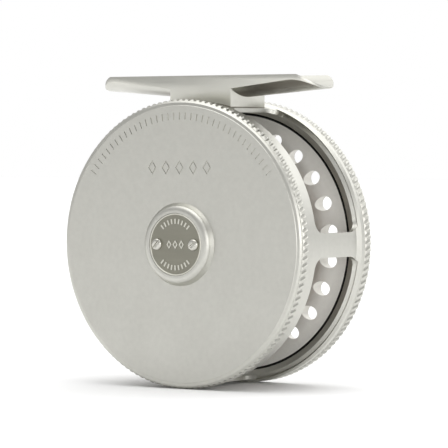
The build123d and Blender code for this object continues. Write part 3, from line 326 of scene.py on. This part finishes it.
def satin_metal(name, colour, roughness, stretch=(1, 1, 1), grain=1800.0, depth=0.25, metallic=1.0):
    """Blasted or brushed metal: fine grain in the relief, slow patches in roughness and tone."""
    material, tree, shader, place = finish_nodes(name, colour, metallic, roughness)
    bump(tree, shader, noise(tree, place, grain, 3.0, stretch), depth, 0.04 * MM)
    patches = noise(tree, place, 120.0, 4.0)
    uneven = spread(tree, patches, roughness - 0.04, roughness + 0.05)
    tree.links.new(uneven, shader.inputs["Roughness"])
    tones = noise(tree, place, 900.0, 4.0, stretch)
    tint(tree, shader, spread(tree, tones, 0.0, 1.0), tuple(channel * 0.95 for channel in colour))
    return material, tree, shader, place


print("surface helpers ready")

# %% [markdown]
# The cage and its back plate are one piece of silver anodised aluminium. The flat face is blasted,
# and the band with the windows was turned and then brushed along the axle, which shows as fine
# level lines on the pillars. A narrow layer in the flutes of the two rims, below their bright tops,
# is painted darker as painted shade, so the flutes read clearly. The distance from the axle picks out
# that narrow layer, and the depth behind the plate's face keeps it to the fluted bands. The slit
# between the ring and the spool is painted near black, a painted shadow.

# %% Cage finish
RIM_RADIUS = cage_high.x
SILVER = (0.585, 0.580, 0.535)
FLUTE_PAINTED_SHADE = (0.16, 0.155, 0.135)
GAP_PAINTED_SHADOW = (0.02, 0.02, 0.018)
BRUSHED = (1, 0.02, 1)
BACK_RIM_END = 3.6 * MM
BACK_FLUTES = (1.25 * MM, 2.85 * MM)
FRONT_FLUTES = (29.2 * MM, 31.1 * MM)
RING_GAP = (27.1 * MM, 29.4 * MM)

cage_finish, tree, shader, place = satin_metal("satin_cage", SILVER, 0.36)
depth = face_depth(tree, place)
brushed_part = ramp(tree, depth, BACK_RIM_END - 0.2 * MM, BACK_RIM_END + 0.2 * MM)
lines = combine(tree, "MULTIPLY", noise(tree, place, 2600.0, 2.0, BRUSHED), brushed_part)
bump(tree, shader, lines, 0.35, 0.05 * MM)
radius = axle_distance(tree, place)
above_land = ramp(tree, radius, RIM_RADIUS - 0.37 * MM, RIM_RADIUS - 0.33 * MM)
below_top = ramp(tree, radius, RIM_RADIUS - 0.28 * MM, RIM_RADIUS - 0.04 * MM, 1.0, 0.0)
in_flutes = combine(tree, "MULTIPLY", above_land, below_top)
back_band = between(tree, depth, *BACK_FLUTES)
front_band = between(tree, depth, *FRONT_FLUTES)
bands_of_flutes = combine(tree, "ADD", back_band, front_band)
# Painted shade: the narrow layer in the flutes is darkened to stand in for their shade.
painted_flute_shade = combine(tree, "MULTIPLY", in_flutes, bands_of_flutes)
tint(tree, shader, combine(tree, "MULTIPLY", painted_flute_shade, 0.45), FLUTE_PAINTED_SHADE)
# Painted shadow: the slit between the ring and the spool is painted near black.
gap_side = between(tree, depth, *RING_GAP)
gap_ring = between(tree, radius, RIM_RADIUS - 3.2 * MM, RIM_RADIUS - 2.3 * MM)
tint(tree, shader, combine(tree, "MULTIPLY", gap_side, gap_ring), GAP_PAINTED_SHADOW)
print("cage finish", SILVER)

# %% [markdown]
# The spool is the same metal with a coarser blast. Its arbor is painted darker and browner than the
# rounded cheek that leads up to the rim: painted shade for the arbor deep inside the cage. The distance
# from the cheek's centre of rounding finds the arbor's surface, and the distance from the axle fades
# the painted shade towards the rim. The dish on the handle side has a quieter tone of its own.
# The spool scatters more than it mirrors, so its shader is less metallic.

# %% Spool finish
SPOOL_SILVER = (0.80, 0.785, 0.74)
DISH_SILVER = (0.50, 0.49, 0.455)
ARBOR_PAINTED_SHADE = (0.15, 0.125, 0.10)
ROLL_SIZE = 6.0 * MM
ROLL_R = 30.4 * MM
ROLL_DEPTH = 20.05 * MM
DISH_DEPTH = 27.25 * MM
RIM_WALL = 3.6 * MM
SPOOL_GAP = (25.9 * MM, 29.4 * MM)

spool_finish, tree, shader, place = satin_metal("satin_spool", SPOOL_SILVER, 0.52, metallic=0.35)
depth = face_depth(tree, place)
radius = axle_distance(tree, place)
# Painted shade: the arbor deep in the cage is painted darker and browner, fading towards the rim.
past_roll = combine(tree, "MAXIMUM", combine(tree, "SUBTRACT", depth, ROLL_DEPTH), 0.0)
under_roll = combine(tree, "SUBTRACT", radius, ROLL_R)
roll_distance = line_distance(tree, past_roll, under_roll)
on_surface = ramp(tree, roll_distance, ROLL_SIZE + 0.15 * MM, ROLL_SIZE + 0.5 * MM, 1.0, 0.0)
from_rim = ramp(tree, radius, ROLL_R - ROLL_SIZE - 0.5 * MM, ROLL_R - 0.2 * MM, 1.0, 0.0)
arbor_shade_unevenness = spread(tree, noise(tree, place, 260.0, 3.0, (1, 3, 1)), 0.85, 1.0)
arbor_shade_paint = combine(tree, "MULTIPLY", combine(tree, "MULTIPLY", on_surface, from_rim), arbor_shade_unevenness)
tint(tree, shader, arbor_shade_paint, ARBOR_PAINTED_SHADE)
front_side = ramp(tree, depth, DISH_DEPTH - 0.1 * MM, DISH_DEPTH + 0.1 * MM)
tint(tree, shader, front_side, DISH_SILVER)
# Painted shadow: the spool's rim wall inside the slit is painted near black.
wall_radius = RIM_RADIUS - RIM_WALL
rim_wall = ramp(tree, radius, wall_radius - 0.02 * MM, wall_radius + 0.02 * MM)
gap_side = between(tree, depth, *SPOOL_GAP)
tint(tree, shader, combine(tree, "MULTIPLY", rim_wall, gap_side), GAP_PAINTED_SHADOW)
print("spool finish", SPOOL_SILVER, "stained to", ARBOR_PAINTED_SHADE)

# %% [markdown]
# The foot is brushed along the rod. Its underside is painted darker beside the pedestal, fading to
# its own bright tone towards the tips: painted shade under the foot. The saddle on top is a trough
# of known radius, so every point farther from its centre line than that radius belongs to the
# underside. A dark line is painted where the pedestal meets the cage, a painted shadow in the joint. A dark seam
# of
# old oil lies where the pedestal meets the cage.

# %% Foot finish
FOOT_SILVER = (0.60, 0.595, 0.545)
FOOT_PAINTED_SHADE = (0.13, 0.112, 0.085)
PEDESTAL_X = 8.9 * MM
CAGE_TOP_R = 34.15 * MM
SADDLE_R = 9.902 * MM
UNDER_SHADE_STARTS = -6.6 * MM
UNDER_SHADE_FULL = -4.4 * MM
FADE_LENGTH = 19.0 * MM
BRUSHED_ALONG = (0.05, 1, 1)

foot_finish, tree, shader, place = satin_metal("satin_foot", FOOT_SILVER, 0.34, BRUSHED_ALONG)
out_along = combine(tree, "ABSOLUTE", along(tree, place, "X"), 0.0)
beside = ramp(tree, out_along, PEDESTAL_X + 0.2 * MM, PEDESTAL_X + FADE_LENGTH, 1.0, 0.0)
past_pedestal = ramp(tree, out_along, PEDESTAL_X + 0.02 * MM, PEDESTAL_X + 0.1 * MM)
across = along(tree, place, "Y")
from_centre = combine(tree, "SUBTRACT", along(tree, place, "Z"), SADDLE_R)
hollow_distance = line_distance(tree, across, from_centre)
low = ramp(tree, hollow_distance, SADDLE_R + 0.15 * MM, SADDLE_R + 0.4 * MM)
# Painted shade: the underside is darkened beside the pedestal and fades towards the tips.
shaded_side = ramp(tree, across, UNDER_SHADE_STARTS, UNDER_SHADE_FULL)
underside_painted_shade = combine(tree, "MULTIPLY", combine(tree, "MULTIPLY", beside, past_pedestal), low)
underside_painted_shade = combine(tree, "MULTIPLY", underside_painted_shade, shaded_side)
tint(tree, shader, combine(tree, "MULTIPLY", underside_painted_shade, 0.8), FOOT_PAINTED_SHADE)
# Painted shadow: a dark line is painted where the pedestal meets the cage.
radius = axle_distance(tree, place)
joint_painted_shadow = ramp(tree, radius, CAGE_TOP_R + 0.10 * MM, CAGE_TOP_R + 0.34 * MM, 1.0, 0.0)
tint(tree, shader, combine(tree, "MULTIPLY", joint_painted_shadow, 0.8), FOOT_PAINTED_SHADE)
print("foot finish", FOOT_SILVER)

# %% [markdown]
# The badge is dull nickel. Its raised marks and its thin raised edge have been rubbed bright, and
# they stand a tenth of a millimetre nearer than the floor of the dish, so one soft step in depth
# finds them.

# %% Badge finish
NICKEL = (0.275, 0.268, 0.222)
RUBBED_NICKEL = (0.66, 0.65, 0.58)
BADGE_TOP_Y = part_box("badge")[0].y

badge_finish, tree, shader, place = satin_metal("badge_nickel", NICKEL, 0.36, stretch=(0.1, 1, 1))
height = along(tree, place, "Y")
rubbed = ramp(tree, height, BADGE_TOP_Y + 0.03 * MM, BADGE_TOP_Y + 0.07 * MM, 1.0, 0.0)
tint(tree, shader, rubbed, RUBBED_NICKEL)
print("badge top at", round(BADGE_TOP_Y, 5))

# %% [markdown]
# The knob is oiled dark hardwood, turned along the axle. The grain of such wood is long fibres with
# fine dark pores, and slow bands where it grew. A wave texture would look like a printed plank, so
# the bands come from a noise that is squeezed across the grain and stretched along it.

# %% Knob wood
WOOD_LIGHT = (0.17, 0.072, 0.030)
WOOD_DARK = (0.055, 0.022, 0.011)
WOOD_PORE = (0.016, 0.008, 0.005)
ALONG_GRAIN = (1, 0.09, 1)

wood_finish, tree, shader, place = finish_nodes("knob_wood", WOOD_LIGHT, 0.0, 0.38)
bands = noise(tree, place, 420.0, 3.0, ALONG_GRAIN)
fibres = noise(tree, place, 2600.0, 3.0, ALONG_GRAIN)
pores = noise(tree, place, 5200.0, 1.0, (1, 0.12, 1))
tint(tree, shader, spread(tree, bands, 0.0, 1.0), WOOD_DARK)
tint(tree, shader, spread(tree, fibres, 0.0, 0.55), WOOD_DARK)
tint(tree, shader, ramp(tree, pores, 0.60, 0.68, 0.0, 0.9), WOOD_PORE)
bump(tree, shader, fibres, 0.3, 0.03 * MM)
bump(tree, shader, pores, -0.35, 0.04 * MM)
tree.links.new(spread(tree, bands, 0.32, 0.46), shader.inputs["Roughness"])
shader.inputs["Coat Weight"].default_value = 0.25
shader.inputs["Coat Roughness"].default_value = 0.2
print("wood from", WOOD_LIGHT, "to", WOOD_DARK)

# %% [markdown]
# The small pieces are ordinary metals: turned stainless screws, ground steel, blued spring steel,
# oiled bronze and brass. Brass and bronze darken unevenly, so a browner tone is laid over them in
# patches. Each CAD node then takes the finish of its own material slot.

# %% Small metals
SMALL_METALS = (
    ("screw_steel", (0.60, 0.59, 0.54), 0.24, (1, 1, 1), (0.42, 0.40, 0.36)),
    ("spindle_steel", (0.56, 0.56, 0.55), 0.22, (0.08, 1, 0.08), (0.40, 0.38, 0.34)),
    ("spring_steel", (0.20, 0.22, 0.28), 0.28, (1, 1, 1), (0.26, 0.19, 0.13)),
    ("bronze", (0.60, 0.40, 0.20), 0.35, (1, 1, 1), (0.34, 0.20, 0.10)),
    ("weight_brass", (0.78, 0.60, 0.30), 0.26, (0.15, 1, 0.15), (0.46, 0.32, 0.14)),
)
finishes = {
    "satin_cage": cage_finish,
    "satin_spool": spool_finish,
    "satin_foot": foot_finish,
    "badge_nickel": badge_finish,
    "knob_wood": wood_finish,
}
for slot_name, colour, roughness, stretch, patina in SMALL_METALS:
    finish, tree, shader, place = satin_metal(slot_name, colour, roughness, stretch, depth=0.15)
    tint(tree, shader, ramp(tree, noise(tree, place, 320.0, 5.0), 0.50, 0.72, 0.0, 0.6), patina)
    finishes[slot_name] = finish

slot_of = {part["node"]: part["material_slot"] for part in frame["record"]["subparts"]}
for node_name, slot_name in slot_of.items():
    mesh = nodes[node_name].data
    mesh.materials.clear()
    mesh.materials.append(finishes[slot_name])
print("finishes", len(finishes), "on", len(slot_of), "nodes")

# %% [markdown]
# A turned or milled piece never has a knife edge. The tiny round on its corners is what catches the
# light as a thin bright line. The CAD pieces have sharp corners, so the ones that are seen best are
# copied, their loose triangles are merged, flat faces are joined, and a narrow Bevel rounds every
# corner. The copy replaces its node in view, and the node stays for the motion. Widths are in
# millimetres.

# %% Softened corners
SOFTENED = (
    ("foot", "frame", 0.16),
    ("badge_screws", "frame", 0.06),
    ("latch_cover", "spool", 0.08),
    ("counterweight", "spool", 0.10),
)
MERGE_WITHIN = 0.002 * MM
FLAT_WITHIN = radians(0.5)
SHARP_FROM = radians(35)


def soften(node_name, body_name, width):
    """A copy of a CAD piece with merged, joined and slightly rounded corners."""
    bpy.ops.object.select_all(action="DESELECT")
    piece = nodes[node_name].copy()
    piece.data = nodes[node_name].data.copy()
    piece.name = "soft_" + node_name
    bpy.context.scene.collection.objects.link(piece)
    piece.select_set(True)
    bpy.context.view_layer.objects.active = piece
    bpy.ops.object.mode_set(mode="EDIT")
    bpy.ops.mesh.select_all(action="SELECT")
    bpy.ops.mesh.remove_doubles(threshold=MERGE_WITHIN)
    bpy.ops.mesh.dissolve_limited(angle_limit=FLAT_WITHIN)
    bpy.ops.object.mode_set(mode="OBJECT")
    rounding = piece.modifiers.new("rounding", "BEVEL")
    rounding.width = width * MM
    rounding.segments = 2
    rounding.limit_method = "ANGLE"
    rounding.angle_limit = SHARP_FROM
    rounding.use_clamp_overlap = True
    bpy.ops.object.modifier_apply(modifier=rounding.name)
    bpy.ops.object.shade_smooth_by_angle(angle=radians(30))
    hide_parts(node_name)
    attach(piece, body_name)
    return piece


for node_name, body_name, width in SOFTENED:
    piece = soften(node_name, body_name, width)
    print(piece.name, "faces", len(piece.data.polygons))
bpy.ops.object.select_all(action="DESELECT")

# %% [markdown]
# The latch's coil spring is pressed shorter when the latch is pushed in. A copy of it stands for
# the CAD piece, with a mesh of its own, and is attached to the spool.

# %% Latch spring
spring_copy = nodes["latch_spring"].copy()
spring_copy.data = nodes["latch_spring"].data.copy()
spring_copy.name = "coil_of_latch"
bpy.context.scene.collection.objects.link(spring_copy)
spring_copy.select_set(True)
bpy.context.view_layer.objects.active = spring_copy
bpy.ops.object.mode_set(mode="EDIT")
bpy.ops.mesh.select_all(action="SELECT")
bpy.ops.mesh.remove_doubles(threshold=MERGE_WITHIN)
bpy.ops.object.mode_set(mode="OBJECT")
bpy.ops.object.shade_smooth_by_angle(angle=radians(40))
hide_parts("latch_spring")
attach(spring_copy, "spool")
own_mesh(spring_copy)
bpy.ops.object.select_all(action="DESELECT")
